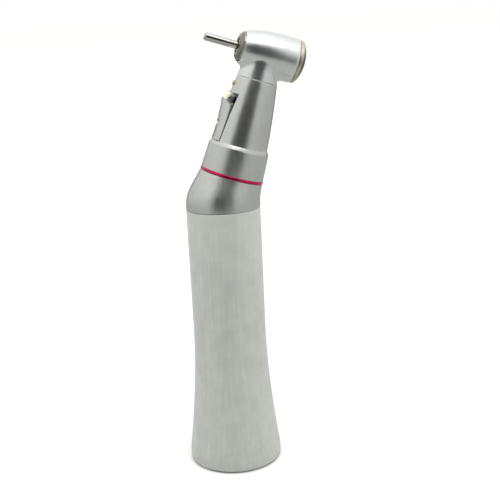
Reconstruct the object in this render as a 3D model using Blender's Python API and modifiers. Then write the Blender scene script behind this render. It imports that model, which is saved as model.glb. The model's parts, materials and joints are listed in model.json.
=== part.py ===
"""Speed-increasing contra angle handpiece with an LED, a spray nozzle and a push-button chuck.

The origin is the centre of the rear (motor) face. +Z runs up the grip, -X is the bur side and
+X the push-button side. XZ is the plane of symmetry. Sizes below are in millimetres and
become metres where a mesh is made.
"""

from math import cos, pi, radians, sin, sqrt

import bmesh
import bpy
from mathutils import Matrix, Vector

MM = 0.001

# Driving dimensions, mm and degrees
REAR_R = 10.0
GRIP_R = 7.8
RIM_TOP = 2.2
FLARE_TOP = 30.0
GRIP_TOP = 56.3
BEND = 18.0
BEND_Z = 56.3
RING_S = 7.02
RING_R = 6.66
COLLAR_TOP = 13.4
COLLAR_R = 6.05
NECK_TOP = 27.1
NECK_TOP_R = 4.2
HEAD_S = 32.75
HEAD_R = 4.5
HEAD_FRONT = -4.2
HEAD_FRONT_R = 3.5
HEAD_REAR = 6.44
BUR_R = 0.8
BUR_TIP = -12.8
SEAM = 0.15
HOOD_TOP = 22.2
HOOD_END = 23.5
HOOD_BED = 4.0
SKIRT_FOOT = 3.4
SKIRT_INSIDE = 2.3
SKIRT_START = 15.4
SKIRT_FULL = 17.4
HOOD_HALF = 3.15
SCREW_S = 17.3
NOZZLE_S = 25.35
LED_TILT = 50.0
BALLS = 7
SLEEVE_BORE_R = 7.12
SPIGOT_LOW = 49.4

# Where the air tube, the LED's wire and the water tube run, in degrees about the grip
TUBE_ANGLES = (150.0, 180.0, 210.0)

# Gears: 30 teeth drive 9, then 18 teeth drive 12, which is 1:5 in all
DRIVE_TEETH = 30
MID_TEETH = 9
CROWN_TEETH = 18
SPINDLE_TEETH = 12
SPINDLE_PITCH_R = 1.7
CROWN_PITCH_R = SPINDLE_PITCH_R * CROWN_TEETH / SPINDLE_TEETH
STEP_ONE = DRIVE_TEETH / MID_TEETH
MID_CONE = sin(radians(BEND)) / (STEP_ONE - cos(radians(BEND)))
DRIVE_CONE = STEP_ONE * MID_CONE / sqrt(1 + MID_CONE**2 - (STEP_ONE * MID_CONE) ** 2)

# Frames: each turned piece is made along its own local Z
GRIP = Matrix.Identity(4)
NECK = Matrix.Translation((0, 0, BEND_Z * MM)) @ Matrix.Rotation(radians(BEND), 4, "Y")
HEAD = NECK @ Matrix.Translation((0, 0, HEAD_S * MM)) @ Matrix.Rotation(pi / 2, 4, "Y")

ROUND = 36
MEDIUM_ROUND = 24
SMALL_ROUND = 16


def clear_scene():
    for old in list(bpy.data.objects):
        bpy.data.objects.remove(old, do_unlink=True)


def collection(name):
    made = bpy.data.collections.new(name)
    bpy.context.scene.collection.children.link(made)
    return made


clear_scene()
PARTS = collection("contra_angle_handpiece")
CUTTERS = collection("cutters")


# Materials


def material(name, colour, metallic, roughness, emission=0.0):
    made = bpy.data.materials.new(name)
    made.use_nodes = True
    shader = made.node_tree.nodes["Principled BSDF"]
    shader.inputs["Base Color"].default_value = (*colour, 1.0)
    shader.inputs["Metallic"].default_value = metallic
    shader.inputs["Roughness"].default_value = roughness
    if emission:
        shader.inputs["Emission Color"].default_value = (*colour, 1.0)
        shader.inputs["Emission Strength"].default_value = emission
    return made


TITANIUM = material("satin_titanium", (0.42, 0.43, 0.41), 1.0, 0.42)
POLISHED = material("polished_steel", (0.60, 0.61, 0.60), 1.0, 0.18)
STEEL = material("bearing_steel", (0.55, 0.56, 0.58), 1.0, 0.25)
GEAR_STEEL = material("gear_steel", (0.40, 0.41, 0.43), 1.0, 0.35)
RED = material("ring_enamel", (0.45, 0.02, 0.10), 0.0, 0.30)
CHAMPAGNE = material("champagne_ring", (0.55, 0.50, 0.38), 1.0, 0.30)
BRASS = material("brass", (0.50, 0.40, 0.16), 1.0, 0.35)
BRONZE = material("cage_polymer", (0.35, 0.22, 0.10), 0.0, 0.50)
CERAMIC = material("led_ceramic", (0.85, 0.85, 0.83), 0.0, 0.45)
PHOSPHOR = material("led_phosphor", (0.90, 0.82, 0.35), 0.0, 0.50, 0.4)
RUBBER = material("seal_rubber", (0.03, 0.03, 0.03), 0.0, 0.70)
COPPER = material("copper_winding", (0.60, 0.25, 0.10), 1.0, 0.35)
MAGNET = material("magnet_nickel", (0.50, 0.50, 0.48), 1.0, 0.30)


# Making shapes


def finish(mesh, name, look, frame, cutter=False):
    made = bpy.data.objects.new(name, mesh)
    made.matrix_world = frame
    if cutter:
        CUTTERS.objects.link(made)
        made.hide_render = True
        made.display_type = "WIRE"
        return made
    PARTS.objects.link(made)
    mesh.materials.append(look)
    mesh.shade_smooth()
    mesh.set_sharp_from_angle(angle=radians(35))
    return made


def arc(centre_r, centre_z, radius, start, end, count=4):
    """Points (r, z) along an arc, from one angle to the other, in degrees from +r."""
    turns = [radians(start + (end - start) * i / count) for i in range(count + 1)]
    return [(centre_r + radius * cos(a), centre_z + radius * sin(a)) for a in turns]


def turned(name, profile, look, frame, steps=SMALL_ROUND, closed=True, cutter=False):
    """A profile of (r, z) turned about local Z. It runs down its outer side, top to bottom."""
    mesh = bpy.data.meshes.new(name)
    points = [(r * MM, 0, z * MM) for r, z in profile]
    edges = [(i, i + 1) for i in range(len(points) - 1)]
    if closed:
        edges.append((len(points) - 1, 0))
    mesh.from_pydata(points, edges, [])
    made = finish(mesh, name, look, frame, cutter)
    screw = made.modifiers.new("turn", "SCREW")
    screw.axis = "Z"
    screw.angle = 2 * pi
    screw.steps = steps
    screw.render_steps = steps
    screw.use_merge_vertices = True
    screw.merge_threshold = 1e-6
    return made


def tube(name, outer, inner, low, high, look, frame, steps=SMALL_ROUND, cutter=False):
    profile = [(outer, high), (outer, low), (inner, low), (inner, high)]
    return turned(name, profile, look, frame, steps, True, cutter)


def rod(name, radius, low, high, look, frame, steps=SMALL_ROUND, cutter=False):
    profile = [(0, high), (radius, high), (radius, low), (0, low)]
    return turned(name, profile, look, frame, steps, False, cutter)


def block(name, size, centre, look, frame, cutter=False):
    mesh = bpy.data.meshes.new(name)
    shape = bmesh.new()
    place = Matrix.Translation(Vector(centre) * MM) @ Matrix.Diagonal((*[s * MM for s in size], 1))
    bmesh.ops.create_cube(shape, size=1.0, matrix=place)
    shape.to_mesh(mesh)
    shape.free()
    return finish(mesh, name, look, frame, cutter)


def loft(name, rings, look, frame, tube_like=False, cutter=False):
    """Rings of equally many points, joined in turn. A tube-like loft joins the last to the first."""
    mesh = bpy.data.meshes.new(name)
    shape = bmesh.new()
    made_rings = [[shape.verts.new(Vector(p) * MM) for p in ring] for ring in rings]
    count = len(rings[0])
    pairs = list(zip(made_rings, made_rings[1:]))
    if tube_like:
        pairs.append((made_rings[-1], made_rings[0]))
    else:
        shape.faces.new(list(reversed(made_rings[0])))
        shape.faces.new(made_rings[-1])
    for low, high in pairs:
        for i in range(count):
            j = (i + 1) % count
            shape.faces.new((low[i], low[j], high[j], high[i]))
    bmesh.ops.recalc_face_normals(shape, faces=shape.faces)
    shape.to_mesh(mesh)
    shape.free()
    return finish(mesh, name, look, frame, cutter)


def boolean(target, other, operation="DIFFERENCE"):
    made = target.modifiers.new(other.name, "BOOLEAN")
    made.operation = operation
    made.solver = "EXACT"
    made.object = other
    return made


def wire(name, points, radius, look, frame, sides=2):
    curve = bpy.data.curves.new(name, "CURVE")
    curve.dimensions = "3D"
    spline = curve.splines.new("POLY")
    spline.points.add(len(points) - 1)
    for point, place in zip(spline.points, points):
        point.co = (*(Vector(place) * MM), 1.0)
    curve.bevel_depth = radius * MM
    curve.bevel_resolution = sides
    curve.use_fill_caps = True
    made = bpy.data.objects.new(name, curve)
    made.matrix_world = frame
    curve.materials.append(look)
    PARTS.objects.link(made)
    return made


def smooth_route(points, per_leg=5):
    """A Catmull-Rom curve through the points, so that a tube bends and never kinks."""
    ends = [points[0], *points, points[-1]]
    route = []
    for a, b, c, d in zip(ends, ends[1:], ends[2:], ends[3:]):
        a, b, c, d = (Vector(p) for p in (a, b, c, d))
        for i in range(per_leg):
            t = i / per_leg
            route.append(
                0.5 * (2 * b + (c - a) * t + (2 * a - 5 * b + 4 * c - d) * t**2
                       + (3 * b - a - 3 * c + d) * t**3)
            )
    return [*route, Vector(points[-1])]


def helix(radius, low, high, turns, per_turn=10):
    count = int(turns * per_turn)
    return [
        (
            radius * cos(2 * pi * i / per_turn),
            radius * sin(2 * pi * i / per_turn),
            low + (high - low) * i / count,
        )
        for i in range(count + 1)
    ]


def facing_out(s):
    """A frame on the neck's axis whose Z points out at the bur side."""
    return NECK @ Matrix.Translation((0, 0, s * MM)) @ Matrix.Rotation(-pi / 2, 4, "Y")


def in_grip(neck_point):
    """A point of the neck's frame, in millimetres, written in the grip's frame."""
    return (NECK @ (Vector(neck_point) * MM)) / MM


def circle(radius, z, count=ROUND):
    turns = [2 * pi * i / count for i in range(count)]
    return [(radius * cos(a), radius * sin(a), z) for a in turns]


def gear_ring(teeth, root, tip, root_share, tip_share, z, phase=0.0):
    """One toothed outline. The shares are a tooth's width at root and tip, as parts of a pitch."""
    pitch = 2 * pi / teeth
    ring = []
    for tooth in range(teeth):
        middle = (tooth + phase) * pitch
        for radius, offset in (
            (root, -root_share / 2),
            (tip, -tip_share / 2),
            (tip, tip_share / 2),
            (root, root_share / 2),
        ):
            angle = middle + offset * pitch
            ring.append((radius * cos(angle), radius * sin(angle), z))
    return ring


# Grip


def grip_radius(z):
    """The flare of the grip: a short rim at the motor end that settles to a straight tube."""
    share = min(1.0, max(0.0, (FLARE_TOP - z) / (FLARE_TOP - RIM_TOP)))
    return GRIP_R + (REAR_R - GRIP_R) * share**1.8


def grip_sleeve():
    heights = [0.25, RIM_TOP, 4, 6, 8.5, 11.5, 15, 19, 24, FLARE_TOP]
    outer = [(GRIP_R, GRIP_TOP - SEAM)]
    outer += [(grip_radius(z), z) for z in reversed(heights)]
    outer.append((grip_radius(0) - 0.2, 0))
    inner = [(8.3, 0), (8.3, 3.2), (SLEEVE_BORE_R, 3.2), (SLEEVE_BORE_R, GRIP_TOP - SEAM)]
    return turned("grip_sleeve", outer + inner, TITANIUM, GRIP, ROUND)


def rear_ring():
    tube("rear_ring", 8.1, 6.35, 0.4, 2.9, POLISHED, GRIP, MEDIUM_ROUND)


def motor_socket():
    """The sleeve that takes the motor's nose, with the seat of the rear drive bearing at its top."""
    profile = [
        (6.95, 27.2), (6.95, 3.2), (6.1, 3.2), (6.1, 23.6),
        (3.3, 23.6), (3.3, 24.4), (4.05, 24.4), (4.05, 27.2),
    ]
    turned("motor_socket", profile, STEEL, GRIP, MEDIUM_ROUND)


# Drive shaft line, along the grip


def bearing(prefix, inner, outer, low, high, frame, steps=SMALL_ROUND):
    """A ball bearing as three pieces: outer race, inner race, and a cage that carries the balls."""
    pitch = (inner + outer) / 2
    ball = 0.2 * pitch
    middle = (low + high) / 2
    lip = (outer - inner) * 0.2
    groove = ball + 0.06
    turned(f"{prefix}_outer_race", [
        (outer, high), (outer, low), (outer - lip, low), (pitch + groove, middle),
        (outer - lip, high),
    ], STEEL, frame, steps)
    turned(f"{prefix}_inner_race", [
        (inner + lip, high), (pitch - groove, middle), (inner + lip, low), (inner, low),
        (inner, high),
    ], STEEL, frame, steps)
    cage = tube(f"{prefix}_cage", pitch + ball * 0.35, pitch - ball * 0.35, middle - ball * 0.75,
                middle + ball * 0.75, BRONZE, frame, steps)
    for i in range(BALLS):
        angle = 2 * pi * i / BALLS
        place = Matrix.Translation(Vector((pitch * cos(angle), pitch * sin(angle), middle)) * MM)
        mesh = bpy.data.meshes.new(f"{prefix}_ball_{i}")
        shape = bmesh.new()
        bmesh.ops.create_uvsphere(shape, u_segments=6, v_segments=3, radius=ball * MM, matrix=place)
        shape.to_mesh(mesh)
        shape.free()
        boolean(cage, finish(mesh, f"{prefix}_ball_{i}", None, frame, True), "UNION")


def drive_shaft():
    profile = [
        (0, 42.4), (1.5, 42.4), (1.5, 34.2), (2.1, 34.2), (2.1, 33.6), (1.5, 33.6),
        (1.5, 27.6), (2.1, 27.6), (2.1, 27.1), (1.5, 27.1), (1.5, 24.3), (1.9, 24.3),
        (1.9, 23.9), (1.3, 23.9), (1.3, 19.4), (0, 19.4),
    ]
    turned("drive_shaft", profile, GEAR_STEEL, GRIP, SMALL_ROUND, False)


def drive_dog():
    """The sprung clutch dog: two lugs that the motor's dog turns, on a blind sleeve."""
    profile = [
        (0, 17.8), (1.45, 17.8), (1.45, 20.4), (2.5, 20.4), (2.5, 18.0), (2.2, 17.6),
        (2.2, 15.9), (0, 15.9),
    ]
    dog = turned("drive_dog", profile, GEAR_STEEL, GRIP, SMALL_ROUND, False)
    slot = block("dog_slot", (1.5, 6.0, 2.4), (0, 0, 15.9), None, GRIP, True)
    boolean(dog, slot)


def dog_spring():
    wire("dog_spring", helix(1.85, 20.65, 23.65, 4, 8), 0.14, STEEL, GRIP, 1)


def generator():
    tube("generator_magnet", 3.6, 1.6, 28.4, 33.3, MAGNET, GRIP)
    stator = tube("generator_stator", 5.9, 3.95, 28.2, 33.5, COPPER, GRIP, MEDIUM_ROUND)
    for i in range(6):
        frame = GRIP @ Matrix.Rotation(2 * pi * (i + 0.5) / 6, 4, "Z")
        slot = block(f"stator_slot_{i}", (1.4, 1.1, 8), (5.9, 0, 30.8), None, frame, True)
        boolean(stator, slot)


def drive_gear():
    """The cup gear. Its inner teeth lie on a cone whose tip is the point where the shafts cross."""
    near, far = 9.9, 11.35
    profile = [
        (6.0, BEND_Z - near), (6.0, 43.4), (5.6, 42.7), (2.6, 42.7), (2.6, 39.6), (1.55, 39.6),
        (1.55, 42.6), (0.0, 42.6), (0.0, 43.7), (5.75, 43.7), (5.75, BEND_Z - far),
        (DRIVE_CONE * near * 0.93, BEND_Z - far), (DRIVE_CONE * near * 0.93, BEND_Z - near),
    ]
    cup = turned("drive_gear", profile, GEAR_STEEL, GRIP, 30)
    rings = []
    for distance in (far + 0.4, near - 0.4):
        pitch_r = DRIVE_CONE * distance
        root = pitch_r * 0.952
        tip = pitch_r * 1.062
        rings.append(
            gear_ring(DRIVE_TEETH, root, tip, 0.66, 0.46, BEND_Z - distance)
        )
    boolean(cup, loft("drive_gear_teeth", rings, None, GRIP, False, True))


def front_carrier():
    carrier = tube("front_carrier", 7.0, 4.05, 35.6, 39.0, TITANIUM, GRIP, MEDIUM_ROUND)
    for i, angle in enumerate(TUBE_ANGLES):
        frame = GRIP @ Matrix.Rotation(radians(angle), 4, "Z")
        slot = block(f"front_carrier_slot_{i}", (1.6, 1.2, 6), (7.0, 0, 37.3), None, frame, True)
        boolean(carrier, slot)


# Mid shaft line, along the neck


def mid_shaft():
    profile = [
        (0, 30.45), (0.95, 30.45), (0.95, 27.9), (1.0, 27.9), (1.0, 25.2), (1.35, 25.2),
        (1.35, 24.7), (1.0, 24.7), (1.0, -3.6), (1.35, -3.6), (1.35, -4.1), (1.0, -4.1),
        (1.0, -9.2), (0.75, -9.2), (0.75, -12.7), (0, -12.7),
    ]
    turned("mid_shaft", profile, GEAR_STEEL, NECK, SMALL_ROUND, False)


def mid_pinion():
    """Nine conical teeth that mesh inside the drive gear, at its -X side."""
    rings = []
    for distance in (12.25, 10.9):
        pitch_r = MID_CONE * distance
        rings.append(
            gear_ring(MID_TEETH, pitch_r * 0.80, pitch_r * 1.15, 0.52, 0.20, -distance, 0.5)
        )
    pinion = loft("mid_pinion", rings, GEAR_STEEL, NECK)
    boolean(pinion, rod("mid_pinion_bore", 0.82, -13, -10, None, NECK, SMALL_ROUND, True))


def crown_gear():
    """Eighteen teeth on the face that looks at the spindle, each a wedge that points up."""
    face = HEAD_S - SPINDLE_PITCH_R
    top = face + 0.16
    root = face - 0.34
    inner, outer = CROWN_PITCH_R - 0.4, CROWN_PITCH_R + 0.25
    profile = [
        (outer, root), (outer, root - 0.5), (1.8, root - 1.2), (1.8, root - 2.3),
        (1.02, root - 2.3), (1.02, root),
    ]
    gear = turned("crown_gear", profile, GEAR_STEEL, NECK, ROUND)
    for i in range(CROWN_TEETH):
        frame = NECK @ Matrix.Rotation(2 * pi * i / CROWN_TEETH, 4, "Z")
        rings = []
        for radius in (inner, outer - 0.1):
            half_root = 0.27 * 2 * pi * radius / CROWN_TEETH
            half_top = 0.13 * 2 * pi * radius / CROWN_TEETH
            low = root - 0.12
            rings.append([
                (radius, -half_root, low), (radius, half_root, low),
                (radius, half_top, top), (radius, -half_top, top),
            ])
        boolean(gear, loft(f"crown_tooth_{i}", rings, None, frame, False, True), "UNION")


def bend_carrier():
    """Holds the mid shaft's rear bearing at the angle of the neck, inside the elbow's spigot."""
    carrier = rod("bend_carrier", 6.2, SPIGOT_LOW, 53.3, TITANIUM, GRIP, MEDIUM_ROUND)
    seat = rod("bend_carrier_seat", 3.12, -9.5, -4.35, None, NECK, SMALL_ROUND, True)
    shaft_way = rod("bend_carrier_way", 2.4, -9.5, 0, None, NECK, SMALL_ROUND, True)
    boolean(carrier, seat)
    boolean(carrier, shaft_way)
    for i, angle in enumerate(TUBE_ANGLES):
        frame = GRIP @ Matrix.Rotation(radians(angle), 4, "Z")
        slot = block(f"bend_carrier_slot_{i}", (1.9, 1.2, 6), (6.0, 0, 51.3), None, frame, True)
        boolean(carrier, slot)


# Elbow, ring, collar and neck shells


def bezier(points, t):
    a, b, c, d = (Vector(p) for p in points)
    return a * (1 - t) ** 3 + 3 * b * t * (1 - t) ** 2 + 3 * c * t * t * (1 - t) + d * t**3


def elbow_sections(inset, count=7):
    """Circles whose diameters join the elbow's bur-side outline to its button-side outline."""
    low = GRIP_TOP + SEAM
    s = RING_S - 0.26 - SEAM
    top_left = in_grip((-RING_R, 0, s))
    top_right = in_grip((RING_R, 0, s))
    left = ((-GRIP_R, low), (-GRIP_R, 59.7), (-6.73, 60.74), (top_left.x, top_left.z))
    right = ((GRIP_R, low), (7.75, 57.9), (8.03, 59.17), (top_right.x, top_right.z))
    rings = []
    for i in range(count):
        a = bezier(left, i / (count - 1))
        b = bezier(right, i / (count - 1))
        middle = (a + b) / 2
        along = (b - a) / 2
        radius = along.length - inset
        along.normalize()
        rings.append([
            (
                middle.x + radius * cos(2 * pi * k / ROUND) * along.x,
                radius * sin(2 * pi * k / ROUND),
                middle.y + radius * cos(2 * pi * k / ROUND) * along.y,
            )
            for k in range(ROUND)
        ])
    return rings


def elbow_housing():
    outer = elbow_sections(0.0)
    inner = elbow_sections(1.0)
    rings = outer + [inner[6], inner[4], inner[2]]
    rings += [
        circle(6.35, GRIP_TOP + SEAM + 0.6),
        circle(6.35, SPIGOT_LOW),
        circle(6.95, SPIGOT_LOW),
        circle(6.95, GRIP_TOP + SEAM),
    ]
    loft("elbow_housing", rings, TITANIUM, GRIP, True)


def colour_ring():
    profile = [
        (RING_R + 0.04, RING_S + 0.26), (RING_R + 0.04, RING_S - 0.26),
        (5.1, RING_S - 0.26), (5.1, RING_S + 0.26),
    ]
    turned("colour_ring", profile, RED, NECK, ROUND)


def neck_collar():
    low = RING_S + 0.26 + SEAM
    profile = [
        (COLLAR_R - 0.12, COLLAR_TOP), (COLLAR_R + 0.16, COLLAR_TOP - 0.5),
        (COLLAR_R + 0.31, COLLAR_TOP - 1.3), (RING_R - 0.02, low),
        (5.1, low), (5.1, COLLAR_TOP),
    ]
    turned("neck_collar", profile, TITANIUM, NECK, ROUND)


def neck_radius(s):
    share = (s - COLLAR_TOP) / (NECK_TOP - COLLAR_TOP)
    return COLLAR_R - (COLLAR_R - NECK_TOP_R) * share + 0.12 * sin(pi * share)


def neck_housing():
    top = NECK_TOP - 0.1
    low = COLLAR_TOP + SEAM
    levels = [low + (top - low) * i / 6 for i in range(7)]
    outer = [(neck_radius(s), s) for s in reversed(levels)]
    inner = [(4.95, low), (4.95, 1.0), (4.2, 1.0), (4.2, 12.5), (3.15, 16.5), (3.15, top)]
    neck = turned("neck_housing", outer + inner, TITANIUM, NECK, ROUND)
    bed = block("hood_bed", (3.0, 2 * HOOD_HALF + 0.3, 10.4), (-5.25, 0, 18.6), None, NECK, True)
    boolean(neck, bed)
    low, high = SKIRT_START + 0.6, HOOD_END + 2 * SEAM
    width = HOOD_HALF - SKIRT_INSIDE + 2 * SEAM
    for side in (-1, 1):
        name = f"skirt_slot_{'near' if side < 0 else 'far'}"
        depth = 3.5
        place = (SEAM - SKIRT_FOOT - depth / 2, side * (HOOD_HALF + SKIRT_INSIDE) / 2, (low + high) / 2)
        boolean(neck, block(name, (depth, width, high - low), place, None, NECK, True))
    boolean(neck, rod("nozzle_hole", 0.62, 2.6, 6, None, facing_out(NOZZLE_S), 16, True))


# LED hood


def hood_top(s):
    """How far the hood's ridge stands from the neck's axis: it dips in the middle."""
    share = (s - COLLAR_TOP) / (HOOD_TOP - COLLAR_TOP)
    return 5.98 - 0.95 * share * (1 - share) + 0.16 * share


def hood_ring(s):
    """A section of the hood: a flat bed between two skirts, straight sides and a crowned top."""
    across = (-HOOD_HALF, -1.9, 0, 1.9, HOOD_HALF)
    crown = [(0.9 * (y / HOOD_HALF) ** 2 - hood_top(s), y, s) for y in across]
    share = min(1.0, max(0.0, (s - SKIRT_START) / (SKIRT_FULL - SKIRT_START)))
    least = 0.02
    foot = HOOD_BED - least - (HOOD_BED - least - SKIRT_FOOT) * share
    return [
        (-foot, HOOD_HALF, s), (-foot, SKIRT_INSIDE, s), (-HOOD_BED, SKIRT_INSIDE, s),
        (-HOOD_BED, -SKIRT_INSIDE, s), (-foot, -SKIRT_INSIDE, s), (-foot, -HOOD_HALF, s), *crown,
    ]


def led_hood():
    levels = [COLLAR_TOP + 0.2, SKIRT_START, SKIRT_FULL, 19.4, 21.4, HOOD_END]
    hood = loft("led_hood", [hood_ring(s) for s in levels], TITANIUM, NECK)
    slant = NECK @ Matrix.Translation(Vector((-5.42, 0, 22.72)) * MM)
    slant = slant @ Matrix.Rotation(radians(-LED_TILT), 4, "Y")
    boolean(hood, block("hood_slant", (8, 8, 3), (0, 0, 1.5), None, slant, True))
    boolean(hood, block("led_seat", (1.9, 4.15, 1.0), (0, 0, 0), None, slant, True))
    for side in (-1, 1):
        scoop = NECK @ Matrix.Translation(Vector((-4.5, side * 1.9, 22.05)) * MM)
        scoop = scoop @ Matrix.Rotation(-side * pi / 2, 4, "X")
        name = f"hood_scoop_{'near' if side < 0 else 'far'}"
        boolean(hood, rod(name, 1.0, 0, 3, None, scoop, 20, True))
    way = [(0, 7), (0.85, 7), (0.85, 4.6), (0.5, 4.6), (0.5, 3.5), (0, 3.5)]
    boolean(hood, turned("screw_way", way, None, facing_out(SCREW_S), 16, False, True))
    return slant


def led(slant):
    block("led_base", (1.75, 4.0, 0.34), (0, 0, -0.28), CERAMIC, slant)
    block("led_phosphor", (1.5, 3.0, 0.22), (0, 0, 0.06), PHOSPHOR, slant)


def hood_screw():
    frame = facing_out(SCREW_S)
    profile = [(0, 5.05), (0.7, 5.05), (0.7, 4.75), (0.4, 4.65), (0.4, 3.95), (0, 3.95)]
    screw = turned("hood_screw", profile, STEEL, frame, 16, False)
    boolean(screw, block("screw_slot", (2, 0.22, 0.4), (0, 0, 5.05), None, frame, True))


def spray_nozzle():
    frame = facing_out(NOZZLE_S)
    profile = [
        (0.22, 4.78), (0.42, 4.78), (0.56, 4.6), (0.56, 3.4), (0.22, 3.4),
    ]
    turned("spray_nozzle", profile, BRASS, frame, 16)


# Tubes and wires


def supply_tubes():
    """The spray water tube, the air tube and the LED's wire, from the socket up to the neck."""
    for name, angle, radius, look, last in (
        ("air_tube", 150.0, 0.32, STEEL, (-1.5, 2.2, 23.5)),
        ("water_tube", 210.0, 0.32, STEEL, (-2.2, -0.9, 24.2)),
        ("led_wire", 180.0, 0.22, COPPER, (-2.6, 0, 19.0)),
    ):
        a = radians(angle)
        ring = [(6.55, 27.8), (6.55, 34), (6.55, 41), (6.55, 46.6), (5.65, 49.2), (5.6, 53.0)]
        if name == "led_wire":
            ring[0] = (6.45, 33.9)
            ring[1] = (6.6, 35.5)
        route = [(r * cos(a), r * sin(a), z) for r, z in ring]
        way = [(3.75, 2.5), (3.7, 8.0), (3.5, 12.5), (2.75, 17.0)]
        route += [in_grip((r * cos(a), r * sin(a), s)) for r, s in way]
        route.append(in_grip(last))
        wire(name, smooth_route(route, 2), radius, look, GRIP, 1)


# Head


def head_radius(z):
    """The barrel's outline: full at the button end and drawn in towards the nose."""
    share = max(0.0, 4.0 - z) / (4.0 - HEAD_FRONT)
    return HEAD_R - (HEAD_R - HEAD_FRONT_R) * share**2.5


def head_housing():
    levels = [HEAD_REAR - 0.25, 3.6, 1.6, -0.4, -2.2, HEAD_FRONT + 0.5]
    outer = [(HEAD_R - 0.2, HEAD_REAR)] + [(head_radius(z), z) for z in levels]
    bore = 3.3
    seat = 3.95
    mouth = 3.05
    front = HEAD_FRONT - 0.62
    outer.append((mouth + 0.09, front))
    inner = [
        (mouth, front), (mouth, front + 0.45), (bore, front + 0.45), (bore, 5.4), (seat, 5.4),
        (seat, HEAD_REAR),
    ]
    barrel = turned("head_housing", outer + inner, TITANIUM, HEAD, ROUND)
    low = NECK_TOP + 0.1
    stem_profile = [(0, HEAD_S), (3.95, HEAD_S), (3.95, 29.4), (NECK_TOP_R - 0.02, low), (0, low)]
    stem = turned("head_stem", stem_profile, None, NECK, ROUND, False, True)
    boolean(barrel, stem, "UNION")
    boolean(barrel, rod("head_stem_bore", 3.15, low - 2, HEAD_S, None, NECK, MEDIUM_ROUND, True))
    boolean(barrel, rod("head_barrel_bore", bore, HEAD_FRONT, 5.45, None, HEAD, ROUND, True))


def front_cap():
    """The nose: a domed ring that screws in over the front bearing, open for the chuck."""
    dome = arc(1.75, -4.45, 1.42, -30, -88, 4)
    bore = [(1.5, -5.82), (1.5, -5.3), (2.5, -5.12)]
    turned("front_cap", [(3.12, -5.12)] + dome + bore, POLISHED, HEAD, MEDIUM_ROUND)


def rear_cap():
    """The champagne-coloured ring that closes the button end and holds the button in."""
    profile = [
        (4.28, 7.25), (4.36, 7.1), (4.36, 6.6), (3.85, 6.6), (3.85, 5.5), (1.5, 5.5), (1.5, 5.7),
        (3.5, 5.7), (3.5, 6.6), (4.05, 6.8), (4.05, 7.25),
    ]
    turned("rear_cap", profile, CHAMPAGNE, HEAD, MEDIUM_ROUND)


def push_button():
    """The domed button: a lip that clears the rear cap, a skirt, and the stem that opens the chuck."""
    crown = [(3.92 * i / 5, 8.45 - 0.95 * (i / 5) ** 2.4) for i in range(6)]
    profile = crown + [(3.92, 7.35), (3.35, 7.35), (3.35, 7.0), (0.9, 7.0), (0.9, 6.1), (0, 6.1)]
    turned("push_button", profile, POLISHED, HEAD, MEDIUM_ROUND, False)


def button_spring():
    wire("button_spring", helix(2.3, 5.87, 6.83, 2, 10), 0.12, STEEL, HEAD, 1)


def spindle():
    turned("spindle", [
        (1.25, 5.3), (1.25, -2.9), (1.5, -2.9), (1.5, -5.1), (1.36, -5.5), (1.18, -5.5),
        (1.18, -1.8), (0.92, -1.8), (0.92, 5.3),
    ], GEAR_STEEL, HEAD)


def spindle_pinion():
    pitch = SPINDLE_PITCH_R
    low, high = CROWN_PITCH_R - 0.42, CROWN_PITCH_R + 0.35
    rings = [
        gear_ring(SPINDLE_TEETH, pitch - 0.2, pitch + 0.2, 0.44, 0.18, z, 0.5)
        for z in (low, high)
    ]
    pinion = loft("spindle_pinion", rings, GEAR_STEEL, HEAD)
    boolean(pinion, rod("spindle_pinion_bore", 1.3, 1, 4, None, HEAD, SMALL_ROUND, True))


def collet():
    grip = tube("collet", 1.12, 0.87, -5.65, -1.9, BRASS, HEAD)
    for i in range(3):
        frame = HEAD @ Matrix.Rotation(2 * pi * i / 3, 4, "Z")
        boolean(grip, block(f"collet_slit_{i}", (2, 0.16, 3.0), (1.3, 0, -4.7), None, frame, True))


def test_pin():
    profile = [(0, 3.3), (BUR_R - 0.1, 3.3), (BUR_R, 3.2), (BUR_R, BUR_TIP + 0.5)]
    profile += [(0.72, BUR_TIP + 0.2), (0.5, BUR_TIP + 0.03), (0, BUR_TIP)]
    turned("test_pin", profile, STEEL, HEAD, SMALL_ROUND, False)


def o_ring(name, s):
    torus = [
        (3.15 + 0.12 * cos(radians(a)), s + 0.28 * sin(radians(a))) for a in range(90, -270, -60)
    ]
    turned(name, torus, RUBBER, HEAD)


def head_line():
    spindle()
    spindle_pinion()
    collet()
    test_pin()
    bearing("front_bearing", 1.55, 2.95, -5.0, -3.0, HEAD)
    bearing("rear_bearing", 1.3, 2.95, 3.35, 5.2, HEAD)
    o_ring("front_o_ring", -4.0)
    o_ring("rear_o_ring", 4.3)


def neck_line():
    mid_shaft()
    mid_pinion()
    crown_gear()
    bearing("mid_front_bearing", 1.05, 3.0, 25.4, 27.5, NECK)
    bearing("mid_rear_bearing", 1.05, 3.0, -6.6, -4.5, NECK)
    bend_carrier()


def drive_line():
    drive_shaft()
    drive_dog()
    dog_spring()
    generator()
    drive_gear()
    bearing("drive_front_bearing", 1.55, 3.95, 36.0, 38.6, GRIP)
    bearing("drive_rear_bearing", 1.55, 3.95, 24.6, 27.0, GRIP)
    front_carrier()


def shells():
    grip_sleeve()
    rear_ring()
    motor_socket()
    elbow_housing()
    colour_ring()
    neck_collar()
    neck_housing()
    led(led_hood())
    hood_screw()
    spray_nozzle()
    head_housing()
    front_cap()
    rear_cap()
    push_button()
    button_spring()


shells()
drive_line()
neck_line()
head_line()
supply_tubes()
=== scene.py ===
"""Looks for the contra angle handpiece: fine shells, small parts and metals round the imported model.

Each piece is made in the local frame of the part it belongs to, in millimetres, with sizes read from
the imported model. GRIP runs up the grip, NECK up the neck, and HEAD along the chuck to the button.
"""

import json
from math import cos, hypot, pi, radians, sin, sqrt, tan

import bmesh
import bpy
from mathutils import Matrix, Vector


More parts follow.
